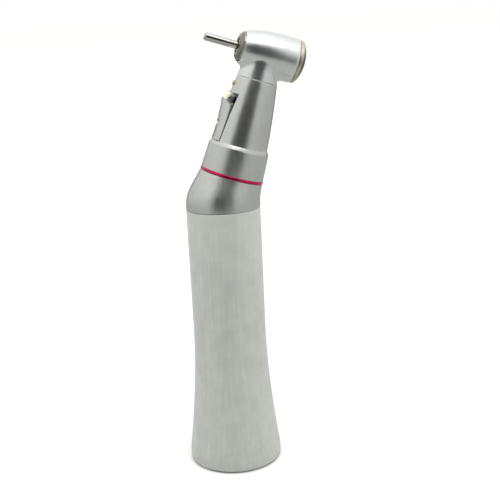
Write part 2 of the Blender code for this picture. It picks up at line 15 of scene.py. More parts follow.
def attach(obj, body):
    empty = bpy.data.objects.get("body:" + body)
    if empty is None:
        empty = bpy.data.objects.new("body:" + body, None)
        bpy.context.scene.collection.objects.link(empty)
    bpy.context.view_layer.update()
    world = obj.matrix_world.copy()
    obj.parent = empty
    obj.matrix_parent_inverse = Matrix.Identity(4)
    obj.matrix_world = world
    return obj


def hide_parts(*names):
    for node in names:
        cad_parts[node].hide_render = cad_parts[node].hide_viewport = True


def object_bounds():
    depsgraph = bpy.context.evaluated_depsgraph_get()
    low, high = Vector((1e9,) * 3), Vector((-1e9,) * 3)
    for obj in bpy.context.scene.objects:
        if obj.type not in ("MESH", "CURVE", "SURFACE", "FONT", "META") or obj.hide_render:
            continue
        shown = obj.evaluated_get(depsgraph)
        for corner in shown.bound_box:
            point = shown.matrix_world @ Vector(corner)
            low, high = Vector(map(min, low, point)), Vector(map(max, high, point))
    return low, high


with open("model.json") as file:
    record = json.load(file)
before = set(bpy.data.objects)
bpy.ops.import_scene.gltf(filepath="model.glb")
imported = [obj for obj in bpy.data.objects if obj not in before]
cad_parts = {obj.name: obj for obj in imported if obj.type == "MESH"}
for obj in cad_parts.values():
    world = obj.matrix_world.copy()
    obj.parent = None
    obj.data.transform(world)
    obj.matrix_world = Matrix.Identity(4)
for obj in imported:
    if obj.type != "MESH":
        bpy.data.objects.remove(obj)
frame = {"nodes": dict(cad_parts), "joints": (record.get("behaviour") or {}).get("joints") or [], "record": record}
CAD_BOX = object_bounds()

MM = 0.001
AROUND = 128
SMALL_AROUND = 64
FILLET_STEPS = 4
SMOOTH_UNDER = radians(34)
HAIRLINE = 0.04

RECORD = frame["record"]
JOINTS = {joint["name"]: joint for joint in frame["joints"]}
SLOT_OF = {row["node"]: row["material_slot"] for row in RECORD["subparts"]}
BODY_OF = {node: body for body, nodes in RECORD["behaviour"]["bodies"].items() for node in nodes}


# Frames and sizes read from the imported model


def axis_frame(joint_name):
    """A frame on a joint's axis: Z along it and Y square to the plane of symmetry."""
    joint = JOINTS[joint_name]
    along = Vector(joint["axis"]).normalized()
    across = Vector((0, 1, 0)).cross(along)
    made = Matrix((across, along.cross(across), along)).transposed().to_4x4()
    made.translation = Vector(joint["pos_m"])
    return made


GRIP = Matrix.Identity(4)
NECK = axis_frame("mid_spin")
HEAD = axis_frame("spindle_spin")


def local_points(node, place):
    inverse = place.inverted()
    return [(inverse @ vertex.co) / MM for vertex in frame["nodes"][node].data.vertices]


def span(node, place):
    """The lowest and highest z of a CAD node in a local frame, and its widest radius, in mm."""
    points = local_points(node, place)
    heights = [p.z for p in points]
    return min(heights), max(heights), max(hypot(p.x, p.y) for p in points)


def radius_near(node, place, z, within=0.02):
    return max(hypot(p.x, p.y) for p in local_points(node, place) if abs(p.z - z) < within)


def in_grip(neck_point):
    return (NECK @ (Vector(neck_point) * MM)) / MM


GRIP_LOW, GRIP_HIGH, REAR_R = span("grip_sleeve", GRIP)
GRIP_R = radius_near("grip_sleeve", GRIP, GRIP_HIGH)
RING_LOW, RING_HIGH, RING_R = span("colour_ring", NECK)
_, COLLAR_TOP, _ = span("neck_collar", NECK)
NECK_SPIGOT, NECK_TOP, COLLAR_R = span("neck_housing", NECK)
NECK_TOP_R = radius_near("neck_housing", NECK, NECK_TOP)
HEAD_S = (NECK.inverted() @ HEAD.translation).z / MM
NOSE_LOW, NOSE_HIGH, _ = span("front_cap", HEAD)
CAP_LOW, CAP_HIGH, CAP_R = span("rear_cap", HEAD)
BUTTON_LOW, BUTTON_HIGH, BUTTON_R = span("push_button", HEAD)
PIN_LOW, PIN_HIGH, PIN_R = span("test_pin", HEAD)

# Outlines that the parts share
SEAM_GAP = 0.3
RIM_TOP = 2.2
FLARE_TOP = 30.0
FLARE_POWER = 1.8
HEAD_R = 4.5
HEAD_FRONT = -4.2
HEAD_FRONT_R = 3.5
HEAD_REAR = 6.44
HOOD_HALF = 3.15
HOOD_BED = 4.0
HOOD_LOW = COLLAR_TOP + 0.07
HOOD_HIGH = 23.5
SKIRT_FOOT = 3.4
SKIRT_INSIDE = 2.3
SKIRT_START = 15.4
SKIRT_FULL = 17.4
HOOD_DIP_END = 22.2
SCREW_S = 17.3
NOZZLE_S = 25.35
LED_TILT = 50.0
LED_AT = (-5.42, 0, 22.72)
LED_SEAT_SIZE = (1.86, 4.1, 1.0)
LED_BASE_SIZE = (1.75, 4.0, 0.34)
LENS_HALF_X = 0.75
LENS_HALF_Y = 1.5
SLEEVE_BORE_R = 7.12
SLEEVE_MOUTH_R = 8.3
MOTOR_BORE_R = 6.1
MOTOR_BORE_TOP = 23.6
SOCKET_GROOVES = (7.0, 12.5)
SOCKET_STEP_TOP = 24.4
SPIGOT_BORE_R = 6.35
SPIGOT_R = 6.95
RING_BORE_R = 5.1
NECK_SPIGOT_R = 4.95
NECK_SPIGOT_BORE_R = 4.2
NECK_BORE_R = 3.15
STEM_R = 3.95
STEM_END = 29.4
BARREL_BORE_R = 3.3
BARREL_STEP = 5.4
BARREL_SEAT_R = 3.95
TAPER_START = 4.0
BARREL_FRONT = HEAD_FRONT - 0.62
SIDES = (-1, 1)


# Making meshes


def as_object(name, shape, place, look):
    bmesh.ops.recalc_face_normals(shape, faces=shape.faces)
    mesh = bpy.data.meshes.new(name)
    shape.to_mesh(mesh)
    shape.free()
    mesh.transform(place)
    mesh.materials.append(look)
    mesh.shade_smooth()
    mesh.set_sharp_from_angle(angle=SMOOTH_UNDER)
    made = bpy.data.objects.new(name, mesh)
    bpy.context.scene.collection.objects.link(made)
    return made


def rounded(corners, closed=True):
    """An outline whose corners, given as (r, z, fillet), become short curves."""
    points = []
    count = len(corners)
    for i, (r, z, fillet) in enumerate(corners):
        here = Vector((r, z))
        at_end = not closed and i in (0, count - 1)
        if fillet == 0 or at_end:
            points.append(here)
            continue
        before = Vector(corners[i - 1][:2]) - here
        after = Vector(corners[(i + 1) % count][:2]) - here
        reach = fillet / max(0.2, tan(before.angle(after) / 2))
        reach = min(reach, 0.48 * before.length, 0.48 * after.length)
        start = here + before.normalized() * reach
        end = here + after.normalized() * reach
        for k in range(FILLET_STEPS + 1):
            t = k / FILLET_STEPS
            points.append(start * (1 - t) ** 2 + here * 2 * t * (1 - t) + end * t**2)
    return points


def turned(name, outline, place, look, closed=True, steps=AROUND):
    """An outline of (r, z) turned about local Z. An open one starts and ends on the axis."""
    shape = bmesh.new()
    rings = []
    for r, z in outline:
        if r < 1e-6:
            rings.append([shape.verts.new((0, 0, z * MM))])
            continue
        turns = [2 * pi * i / steps for i in range(steps)]
        rings.append([shape.verts.new((r * cos(a) * MM, r * sin(a) * MM, z * MM)) for a in turns])
    pairs = list(zip(rings, rings[1:]))
    if closed:
        pairs.append((rings[-1], rings[0]))
    for low, high in pairs:
        join_rings(shape, low, high)
    return as_object(name, shape, place, look)


def join_rings(shape, low, high):
    steps = max(len(low), len(high))
    for i in range(steps):
        j = (i + 1) % steps
        if len(low) == 1:
            corners = (low[0], high[j], high[i])
        elif len(high) == 1:
            corners = (low[i], low[j], high[0])
        else:
            corners = (low[i], low[j], high[j], high[i])
        shape.faces.new(corners)


def lofted(name, sections, place, look, tube_like=False):
    """Sections with equally many points, joined in turn. A tube-like loft closes on itself."""
    shape = bmesh.new()
    rings = [[shape.verts.new(Vector(p) * MM) for p in section] for section in sections]
    pairs = list(zip(rings, rings[1:]))
    if tube_like:
        pairs.append((rings[-1], rings[0]))
    else:
        shape.faces.new(list(reversed(rings[0])))
        shape.faces.new(rings[-1])
    for low, high in pairs:
        join_rings(shape, low, high)
    return as_object(name, shape, place, look)


def box_cutter(name, size, centre, place):
    shape = bmesh.new()
    scale = Matrix.Diagonal((*[s * MM for s in size], 1))
    bmesh.ops.create_cube(shape, size=1.0, matrix=Matrix.Translation(Vector(centre) * MM) @ scale)
    return as_object(name, shape, place, None)


def apply_modifiers(piece):
    graph = bpy.context.evaluated_depsgraph_get()
    made = bpy.data.meshes.new_from_object(piece.evaluated_get(graph))
    piece.modifiers.clear()
    piece.data = made


def carve(piece, cutter, operation="DIFFERENCE"):
    """Cuts or joins one closed mesh with another, and removes the second."""
    step = piece.modifiers.new("carve", "BOOLEAN")
    step.operation = operation
    step.solver = "EXACT"
    step.object = cutter
    apply_modifiers(piece)
    bpy.data.objects.remove(cutter)


def soften(piece, width, segments=3, above=35.0):
    """Rounds the edges left by a cut."""
    edges = piece.modifiers.new("soften", "BEVEL")
    edges.width = width * MM
    edges.segments = segments
    edges.limit_method = "ANGLE"
    edges.angle_limit = radians(above)
    edges.harden_normals = False
    apply_modifiers(piece)
    piece.data.shade_smooth()
    piece.data.set_sharp_from_angle(angle=SMOOTH_UNDER)


def stands_for(piece, *nodes):
    """The piece takes the place of these CAD nodes, on the body of the first."""
    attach(piece, BODY_OF[nodes[0]])
    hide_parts(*nodes)
    return piece


def facing_out(s):
    """A frame on the neck's axis whose Z points out at the bur side."""
    return NECK @ Matrix.Translation((0, 0, s * MM)) @ Matrix.Rotation(-pi / 2, 4, "Y")


# Materials


class Nodes:
    """A material's node tree, with the few steps that these materials share."""

    def __init__(self, name):
        self.material = bpy.data.materials.new(name)
        self.material.use_nodes = True
        self.tree = self.material.node_tree
        self.shader = self.tree.nodes["Principled BSDF"]
        self.place = self.add("ShaderNodeTexCoord").outputs["Object"]

    def add(self, kind, **values):
        node = self.tree.nodes.new(kind)
        for name, value in values.items():
            setattr(node, name, value)
        return node

    def link(self, source, target):
        self.tree.links.new(source, target)

    def noise(self, size_mm, detail=3.0, stretch=(1, 1, 1), rough=0.5):
        """Noise whose grains are about size_mm wide, stretched along the axes as asked."""
        mapping = self.add("ShaderNodeMapping")
        mapping.inputs["Scale"].default_value = stretch
        self.link(self.place, mapping.inputs["Vector"])
        noise = self.add("ShaderNodeTexNoise")
        noise.inputs["Scale"].default_value = 1 / (size_mm * MM)
        noise.inputs["Detail"].default_value = detail
        noise.inputs["Roughness"].default_value = rough
        self.link(mapping.outputs["Vector"], noise.inputs["Vector"])
        return noise.outputs["Fac"]

    def between(self, value, low, high, from_low=0.3, from_high=0.7):
        step = self.add("ShaderNodeMapRange")
        step.inputs["From Min"].default_value = from_low
        step.inputs["From Max"].default_value = from_high
        step.inputs["To Min"].default_value = low
        step.inputs["To Max"].default_value = high
        self.link(value, step.inputs["Value"])
        return step.outputs["Result"]

    def math(self, operation, a, b):
        step = self.add("ShaderNodeMath", operation=operation)
        self.link(a, step.inputs[0])
        if isinstance(b, (int, float)):
            step.inputs[1].default_value = b
        else:
            self.link(b, step.inputs[1])
        return step.outputs["Value"]

    def blend(self, share, dark, light):
        step = self.add("ShaderNodeMix", data_type="RGBA")
        self.link(share, step.inputs["Factor"])
        for socket, value in ((step.inputs[6], dark), (step.inputs[7], light)):
            if isinstance(value, tuple):
                socket.default_value = (*value, 1)
            else:
                self.link(value, socket)
        return step.outputs[2]

    def edges(self, low=0.505, high=0.56):
        """1 on worn outer edges and 0 elsewhere."""
        bent = self.add("ShaderNodeNewGeometry").outputs["Pointiness"]
        return self.between(bent, 0.0, 1.0, low, high)

    def bump(self, height, strength, depth_mm):
        step = self.add("ShaderNodeBump")
        step.inputs["Strength"].default_value = strength
        step.inputs["Distance"].default_value = depth_mm * MM
        self.link(height, step.inputs["Height"])
        self.link(step.outputs["Normal"], self.shader.inputs["Normal"])


def tint(colour, share):
    return tuple(min(1.0, c * share) for c in colour)


def metal(name, colour, roughness, grain_mm=0.12, spread=0.04, wear=1.10, stretch=(1, 1, 0.04)):
    """A metal with cloudy tone, faint drawn streaks, a fine grain and edges rubbed brighter."""
    made = Nodes(name)
    made.shader.inputs["Metallic"].default_value = 1.0
    clouds = made.noise(3.0, 4.0)
    streaks = made.noise(0.5, 3.0, stretch)
    grain = made.noise(grain_mm, 2.0, rough=0.6)
    tone = made.math("MULTIPLY", made.math("ADD", clouds, streaks), 0.5)
    body = made.blend(made.between(tone, 0.0, 1.0, 0.38, 0.62), tint(colour, 0.95), tint(colour, 1.05))
    rubbed = made.blend(made.edges(), body, tint(colour, wear))
    made.link(rubbed, made.shader.inputs["Base Color"])
    mixed = made.math("MULTIPLY", made.math("ADD", grain, streaks), 0.5)
    rough = made.between(mixed, roughness - spread, roughness + spread, 0.35, 0.65)
    made.link(rough, made.shader.inputs["Roughness"])
    made.bump(grain, 0.25 * roughness, 0.003)
    return made.material


def coated(name, colour, roughness, grain_mm=0.2):
    """A plastic, rubber or ceramic: a slow change of tone and a fine pebble."""
    made = Nodes(name)
    clouds = made.noise(1.5, 4.0)
    grain = made.noise(grain_mm, 3.0)
    body = made.blend(made.between(clouds, 0.0, 1.0), tint(colour, 0.88), tint(colour, 1.08))
    made.link(body, made.shader.inputs["Base Color"])
    made.link(made.between(grain, roughness - 0.04, roughness + 0.06), made.shader.inputs["Roughness"])
    made.bump(grain, 0.15, 0.004)
    return made.material


def phosphor_look():
    """The LED's phosphor: warm grains that glow a little."""
    made = Nodes("phosphor_look")
    grains = made.noise(0.08, 2.0)
    body = made.blend(made.between(grains, 0.0, 1.0), (0.86, 0.72, 0.28), (1.0, 0.93, 0.58))
    made.link(body, made.shader.inputs["Base Color"])
    made.link(body, made.shader.inputs["Emission Color"])
    made.shader.inputs["Emission Strength"].default_value = 0.35
    made.link(made.between(grains, 0.25, 0.42), made.shader.inputs["Roughness"])
    made.bump(grains, 0.2, 0.01)
    return made.material


GRIP_LOOK = metal("grip_look", (0.71, 0.725, 0.69), 0.80)
SATIN = metal("satin_look", (0.50, 0.51, 0.48), 0.36)
NECK_LOOK = metal("neck_look", (0.52, 0.53, 0.50), 0.31, spread=0.02)
HEAD_LOOK = metal("head_look", (0.62, 0.635, 0.625), 0.31, spread=0.015)
# The nose's dark base colour is partly its own darker metal and partly painted dark reflection.
NOSE_LOOK = metal("nose_look", (0.20, 0.19, 0.16), 0.13, spread=0.02, wear=1.5)
POLISHED = metal("polished_look", (0.60, 0.60, 0.57), 0.14, spread=0.02)
PIN_LOOK = metal("pin_look", (0.44, 0.43, 0.39), 0.17, spread=0.02)
STEEL = metal("steel_look", (0.52, 0.52, 0.52), 0.26)
MACHINED = metal("machined_look", (0.42, 0.43, 0.45), 0.36, stretch=(0.04, 0.04, 1))
CARRIER = metal("carrier_look", (0.56, 0.57, 0.57), 0.40, grain_mm=0.1)
CHAMPAGNE = metal("champagne_look", (0.46, 0.43, 0.33), 0.34)
BRASS = metal("brass_look", (0.52, 0.42, 0.16), 0.30)
COPPER = metal("copper_look", (0.62, 0.27, 0.11), 0.38, grain_mm=0.15, stretch=(1, 1, 3))
NICKEL = metal("nickel_look", (0.50, 0.50, 0.47), 0.30)
ENAMEL = metal("enamel_look", (0.60, 0.018, 0.10), 0.24, spread=0.03, wear=1.05)
POLYMER = coated("polymer_look", (0.35, 0.22, 0.10), 0.50)
CERAMIC = coated("ceramic_look", (0.85, 0.85, 0.83), 0.42, grain_mm=0.1)
RUBBER = coated("rubber_look", (0.03, 0.03, 0.03), 0.68)
PHOSPHOR = phosphor_look()

LOOK_OF_SLOT = {
    "satin_titanium": SATIN,
    "carrier_alloy": CARRIER,
    "polished_steel": POLISHED,
    "bearing_steel": STEEL,
    "gear_steel": MACHINED,
    "ring_enamel": ENAMEL,
    "champagne_ring": CHAMPAGNE,
    "brass": BRASS,
    "cage_polymer": POLYMER,
    "led_ceramic": CERAMIC,
    "led_phosphor": PHOSPHOR,
    "seal_rubber": RUBBER,
    "copper_winding": COPPER,
    "magnet_nickel": NICKEL,
}


# Grip and motor end


def grip_radius(z):
    share = min(1.0, max(0.0, (FLARE_TOP - z) / (FLARE_TOP - RIM_TOP)))
    return GRIP_R + (REAR_R - GRIP_R) * share**FLARE_POWER


def grip_sleeve():
    """The sleeve closes on the elbow with a hairline, where the CAD leaves room for the solids."""
    top = GRIP_HIGH + SEAM_GAP / 2 - HAIRLINE
    bore = SLEEVE_BORE_R
    mouth = SLEEVE_MOUTH_R
    flare = [(grip_radius(FLARE_TOP * i / 30), FLARE_TOP * i / 30) for i in range(1, 31)]
    corners = [(REAR_R - 0.02, 0.22, 0.12), *[(r, z, 0) for r, z in flare]]
    corners += [(GRIP_R, 40.0, 0), (GRIP_R, top, 0.10), (bore, top, 0.05)]
    corners += [(bore, 3.2, 0.05), (mouth, 3.2, 0.05), (mouth, GRIP_LOW, 0.12)]
    corners += [(REAR_R - 0.26, GRIP_LOW, 0.12)]
    stands_for(turned("grip_sleeve_shell", rounded(corners), GRIP, GRIP_LOOK), "grip_sleeve")


def rear_ring():
    low, high, outer = span("rear_ring", GRIP)
    corners = [
        (outer, high, 0.05), (outer, low, 0.1), (7.3, low, 0.08), (7.3, low + 0.35, 0.05),
        (7.0, low + 0.35, 0.05), (7.0, low, 0.08), (6.35, low, 0.15), (6.35, high, 0.05),
    ]
    stands_for(turned("rear_ring_shell", rounded(corners), GRIP, POLISHED), "rear_ring")


def motor_socket():
    """The bore that takes the motor's nose, with two seal grooves turned in its wall."""
    low, high, outer = span("motor_socket", GRIP)
    bore = MOTOR_BORE_R
    corners = [(outer, high, 0.1), (outer, low, 0.1), (bore + 0.25, low, 0.1), (bore, low + 0.35, 0.1)]
    for z in SOCKET_GROOVES:
        end = z + 0.9
        deep = bore + 0.35
        corners += [(bore, z, 0.05), (deep, z, 0.05), (deep, end, 0.05), (bore, end, 0.05)]
    corners += [(bore, MOTOR_BORE_TOP, 0.1), (3.3, MOTOR_BORE_TOP, 0.1), (3.3, SOCKET_STEP_TOP, 0.05)]
    corners += [(4.05, SOCKET_STEP_TOP, 0.05), (4.05, high, 0.05)]
    stands_for(turned("motor_socket_shell", rounded(corners), GRIP, STEEL), "motor_socket")


def drive_dog():
    low, high, outer = span("drive_dog", GRIP)
    corners = [
        (0, 17.8, 0), (1.45, 17.8, 0.05), (1.45, high, 0.05), (outer, high, 0.1),
        (outer, 18.0, 0.15), (2.2, 17.6, 0.15), (2.2, low, 0.15), (0, low, 0),
    ]
    dog = turned("drive_dog_shell", rounded(corners, False), GRIP, MACHINED, False, SMALL_AROUND)
    carve(dog, box_cutter("dog_slot", (1.5, 6.0, 2.4), (0, 0, low), GRIP))
    soften(dog, 0.06)
    stands_for(dog, "drive_dog")


# Elbow, ring, collar


def bezier(points, t):
    a, b, c, d = (Vector(p) for p in points)
    return a * (1 - t) ** 3 + 3 * b * t * (1 - t) ** 2 + 3 * c * t * t * (1 - t) + d * t**3


def elbow_ring(share, inset):
    """A circle whose diameter joins the bur-side outline to the button-side outline."""
    low = GRIP_HIGH + SEAM_GAP / 2 + HAIRLINE
    end_r = RING_R - 0.04
    end = RING_LOW - HAIRLINE
    left_end = in_grip((-end_r, 0, end))
    right_end = in_grip((end_r, 0, end))
    left = ((-GRIP_R, low), (-GRIP_R, 59.7), (-6.73, 60.74), (left_end.x, left_end.z))
    right = ((GRIP_R, low), (7.75, 57.9), (8.03, 59.17), (right_end.x, right_end.z))
    a = bezier(left, share)
    b = bezier(right, share)
    middle = (a + b) / 2
    along = (b - a).normalized()
    radius = (b - a).length / 2 - inset
    turns = [2 * pi * k / AROUND for k in range(AROUND)]
    return [
        (middle.x + radius * cos(k) * along.x, radius * sin(k), middle.y + radius * cos(k) * along.y)
        for k in turns
    ]


def flat_ring(radius, z):
    turns = [2 * pi * k / AROUND for k in range(AROUND)]
    return [(radius * cos(k), radius * sin(k), z) for k in turns]


def elbow_housing():
    edge = 0.08
    sections = [elbow_ring(0.0, edge)]
    sections += [elbow_ring(0.006 + 0.988 * i / 30, 0.0) for i in range(31)]
    sections += [elbow_ring(1.0, edge)]
    sections += [elbow_ring(share, 1.0) for share in (1.0, 0.75, 0.5, 0.35)]
    spigot_low = span("elbow_housing", GRIP)[0]
    low = GRIP_HIGH + SEAM_GAP / 2 + HAIRLINE
    sections += [flat_ring(SPIGOT_BORE_R, low + 0.6), flat_ring(SPIGOT_BORE_R, spigot_low)]
    sections += [flat_ring(SPIGOT_R, spigot_low), flat_ring(SPIGOT_R, low)]
    elbow = lofted("elbow_shell", sections, GRIP, SATIN, True)
    stands_for(elbow, "elbow_housing")


def colour_ring():
    corners = [(RING_R, RING_HIGH, 0.12), (RING_R, RING_LOW, 0.12)]
    corners += [(RING_BORE_R, RING_LOW, 0.02), (RING_BORE_R, RING_HIGH, 0.02)]
    stands_for(turned("colour_ring_band", rounded(corners), NECK, ENAMEL), "colour_ring")


def neck_collar():
    """A short cone with a rounded shoulder, a step wider than the neck."""
    low = RING_HIGH + HAIRLINE
    corners = [
        (COLLAR_R - 0.2, COLLAR_TOP + 0.04, 0.04), (COLLAR_R + 0.02, COLLAR_TOP - 0.12, 0.12),
        (COLLAR_R + 0.30, COLLAR_TOP - 0.75, 0.8),
        (RING_R - 0.06, low, 0.08), (RING_BORE_R, low, 0.02), (RING_BORE_R, COLLAR_TOP, 0.02),
    ]
    stands_for(turned("neck_collar_shell", rounded(corners), NECK, SATIN), "neck_collar")


# Neck and hood


def neck_radius(s):
    share = (s - COLLAR_TOP) / (NECK_TOP + 0.1 - COLLAR_TOP)
    step = 0.2 * (1 - share)
    return COLLAR_R - step - (COLLAR_R - NECK_TOP_R) * share + 0.12 * sin(pi * share)


def neck_housing():
    low = COLLAR_TOP + 0.03
    top = NECK_TOP + 0.1 - HAIRLINE / 2
    levels = [low + (top - low) * i / 24 for i in range(25)]
    corners = [(neck_radius(s), s, 0.07 if s == top else 0) for s in reversed(levels)]
    corners += [(NECK_SPIGOT_R, low, 0.05), (NECK_SPIGOT_R, NECK_SPIGOT, 0.05)]
    corners += [(NECK_SPIGOT_BORE_R, NECK_SPIGOT, 0.05), (NECK_SPIGOT_BORE_R, 12.5, 0)]
    corners += [(NECK_BORE_R, 16.5, 0), (NECK_BORE_R, top, 0.03)]
    neck = turned("neck_shell", rounded(corners), NECK, NECK_LOOK)
    bed_size = (3.0, 2 * HOOD_HALF + 0.12, HOOD_HIGH - HOOD_LOW + 0.08)
    carve(neck, box_cutter("bed", bed_size, (-5.25, 0, (HOOD_HIGH + HOOD_LOW) / 2), NECK))
    slot_low = SKIRT_START + 0.6
    slot_size = (3.5, HOOD_HALF - SKIRT_INSIDE + 0.12, HOOD_HIGH + 0.04 - slot_low)
    for side in SIDES:
        middle = (
            0.1 - SKIRT_FOOT - slot_size[0] / 2,
            side * (HOOD_HALF + SKIRT_INSIDE) / 2,
            slot_low + slot_size[2] / 2,
        )
        carve(neck, box_cutter(f"skirt_slot_{side}", slot_size, middle, NECK))
    hole = rounded([(0, 6, 0), (0.62, 6, 0), (0.62, 2.6, 0), (0, 2.6, 0)], False)
    carve(neck, turned("nozzle_way", hole, facing_out(NOZZLE_S), None, False, 32))
    neck.data.shade_smooth()
    neck.data.set_sharp_from_angle(angle=SMOOTH_UNDER)
    stands_for(neck, "neck_housing")


def hood_top(s):
    share = (s - COLLAR_TOP) / (HOOD_DIP_END - COLLAR_TOP)
    return 5.98 - 0.95 * share * (1 - share) + 0.16 * share


def hood_section(s):
    """A flat bed between two skirts, and a crown whose sides fall to just above the neck."""
    eaves = sqrt(neck_radius(s) ** 2 - HOOD_HALF**2) + 0.04
    rise = hood_top(s) - eaves
    crown = []
    for i in range(33):
        turn = pi * (1 - i / 32)
        across = HOOD_HALF * cos(turn)
        crown.append((-eaves - rise * (1 - abs(across / HOOD_HALF) ** 2.3) ** 0.62, across, s))
    share = min(1.0, max(0.0, (s - SKIRT_START) / (SKIRT_FULL - SKIRT_START)))
    least = 0.02
    foot = HOOD_BED - least - (HOOD_BED - least - SKIRT_FOOT) * share
    return [
        (-foot, HOOD_HALF, s), (-foot, SKIRT_INSIDE, s), (-HOOD_BED, SKIRT_INSIDE, s),
        (-HOOD_BED, -SKIRT_INSIDE, s), (-foot, -SKIRT_INSIDE, s), (-foot, -HOOD_HALF, s), *crown,
    ]


def slant_frame():
    """On the hood's cut face, Z out of it: the LED sits square to this."""
    moved = NECK @ Matrix.Translation(Vector(LED_AT) * MM)
    return moved @ Matrix.Rotation(radians(-LED_TILT), 4, "Y")


def led_hood():
    levels = [HOOD_LOW + (HOOD_HIGH - HOOD_LOW) * i / 20 for i in range(21)]
    hood = lofted("led_hood_shell", [hood_section(s) for s in levels], NECK, NECK_LOOK)
    slant = slant_frame()
    carve(hood, box_cutter("hood_slant", (8, 8, 3), (0, 0, 1.5), slant))
    carve(hood, box_cutter("led_seat", LED_SEAT_SIZE, (0, 0, 0), slant))
    for side in SIDES:
        scoop = NECK @ Matrix.Translation(Vector((-4.5, side * 1.9, 22.05)) * MM)
        scoop = scoop @ Matrix.Rotation(-side * pi / 2, 4, "X")
        outline = rounded([(0, 3, 0), (1.0, 3, 0), (1.0, 0, 0.3), (0, 0, 0)], False)
        carve(hood, turned(f"scoop_{side}", outline, scoop, None, False, 40))
    way = [(0, 7, 0), (1.0, 7, 0), (1.0, 4.6, 0.1), (0.5, 4.6, 0), (0.5, 3.5, 0), (0, 3.5, 0)]
    carve(hood, turned("screw_way", rounded(way, False), facing_out(SCREW_S), None, False, 40))
    soften(hood, 0.05, 2, 40.0)
    stands_for(hood, "led_hood")


def led():
    slant = slant_frame()
    base = box_cutter("led_base_plate", LED_BASE_SIZE, (0, 0, -0.28), slant)
    base.data.materials[0] = CERAMIC
    soften(base, 0.05)
    stands_for(base, "led_base")
    lens = lofted("led_phosphor_pad", phosphor_sections(), slant, PHOSPHOR)
    stands_for(lens, "led_phosphor")


def phosphor_sections():
    """A low pad with round corners that draws in towards its top."""
    sections = []
    for z, inset in ((-0.05, 0.0), (0.07, 0.0), (0.13, 0.03), (0.165, 0.09), (0.175, 0.2)):
        half_x = LENS_HALF_X - inset
        half_y = LENS_HALF_Y - inset
        ring = []
        for k in range(48):
            angle = 2 * pi * k / 48
            bulge = 1 / (abs(cos(angle)) ** 8 + abs(sin(angle)) ** 8) ** 0.125
            ring.append((half_x * cos(angle) * bulge, half_y * sin(angle) * bulge, z))
        sections.append(ring)
    return sections


def hood_screw():
    place = facing_out(SCREW_S)
    low, high, outer = span("hood_screw", place)
    corners = [
        (0, high, 0), (0.45, high, 0.1), (outer, high - 0.12, 0.1), (outer, 4.75, 0.05),
        (0.4, 4.65, 0.05), (0.4, low, 0.1), (0, low, 0),
    ]
    screw = turned("hood_screw_shell", rounded(corners, False), place, STEEL, False, SMALL_AROUND)
    carve(screw, box_cutter("screw_slot", (2, 0.22, 0.4), (0, 0, high), place))
    soften(screw, 0.02, 2)
    stands_for(screw, "hood_screw")


def spray_nozzle():
    place = facing_out(NOZZLE_S)
    low, high, outer = span("spray_nozzle", place)
    corners = [
        (0.22, high - 0.08, 0.03), (0.30, high, 0.05), (0.44, high, 0.08), (outer, high - 0.2, 0.06),
        (outer, low, 0.03), (0.22, low, 0.03),
    ]
    nozzle = turned("spray_nozzle_shell", rounded(corners), place, BRASS, True, SMALL_AROUND)
    stands_for(nozzle, "spray_nozzle")


# Head


def head_radius(z):
    share = max(0.0, TAPER_START - z) / (TAPER_START - HEAD_FRONT)
    return HEAD_R - (HEAD_R - HEAD_FRONT_R) * share**2.5


def stem_radius(s):
    share = min(1.0, (s - NECK_TOP) / (STEM_END - NECK_TOP))
    return NECK_TOP_R - (NECK_TOP_R - STEM_R) * max(0.0, share)


def barrel_height(x, y):
    """How high on the neck's axis the barrel's underside is over the point (x, y)."""
    radius = head_radius(x)
    return HEAD_S - sqrt(max(0.0, radius**2 - y**2))


def stem_sections():
    """Rings up the stem, then a fillet that flares out to meet the barrel's underside."""
    low = NECK_TOP + 0.1 + HAIRLINE / 2
    columns = []
    for k in range(AROUND):
        angle = 2 * pi * k / AROUND
        flare = 0.28 + 0.80 * abs(cos(angle)) ** 1.5
        meet = barrel_height(STEM_R * cos(angle), STEM_R * sin(angle))
        start = Vector((STEM_R, meet - 0.55 - 0.35 * abs(cos(angle))))
        out = STEM_R + flare
        end = Vector((out, barrel_height(out * cos(angle), out * sin(angle)) + 0.05))
        back = out - 0.1
        slope = Vector((0.1, end.y - barrel_height(back * cos(angle), back * sin(angle)))).normalized()
        reach = (end - start).length * 0.5
        curve = (start, start + Vector((0, reach)), end - slope * reach, end)
        column = [Vector((stem_radius(low) - 0.07, low)), Vector((stem_radius(low + 0.07), low + 0.07))]
        straight = [low + 0.07 + (start.y - low - 0.07) * i / 8 for i in range(1, 8)]
        column += [Vector((stem_radius(s), s)) for s in straight]
        column += [bezier(curve, i / 10) for i in range(11)]
        column.append(Vector((out, end.y + 0.4)))
        columns.append([(p.x * cos(angle), p.x * sin(angle), p.y) for p in column])
    return [list(ring) for ring in zip(*columns)]


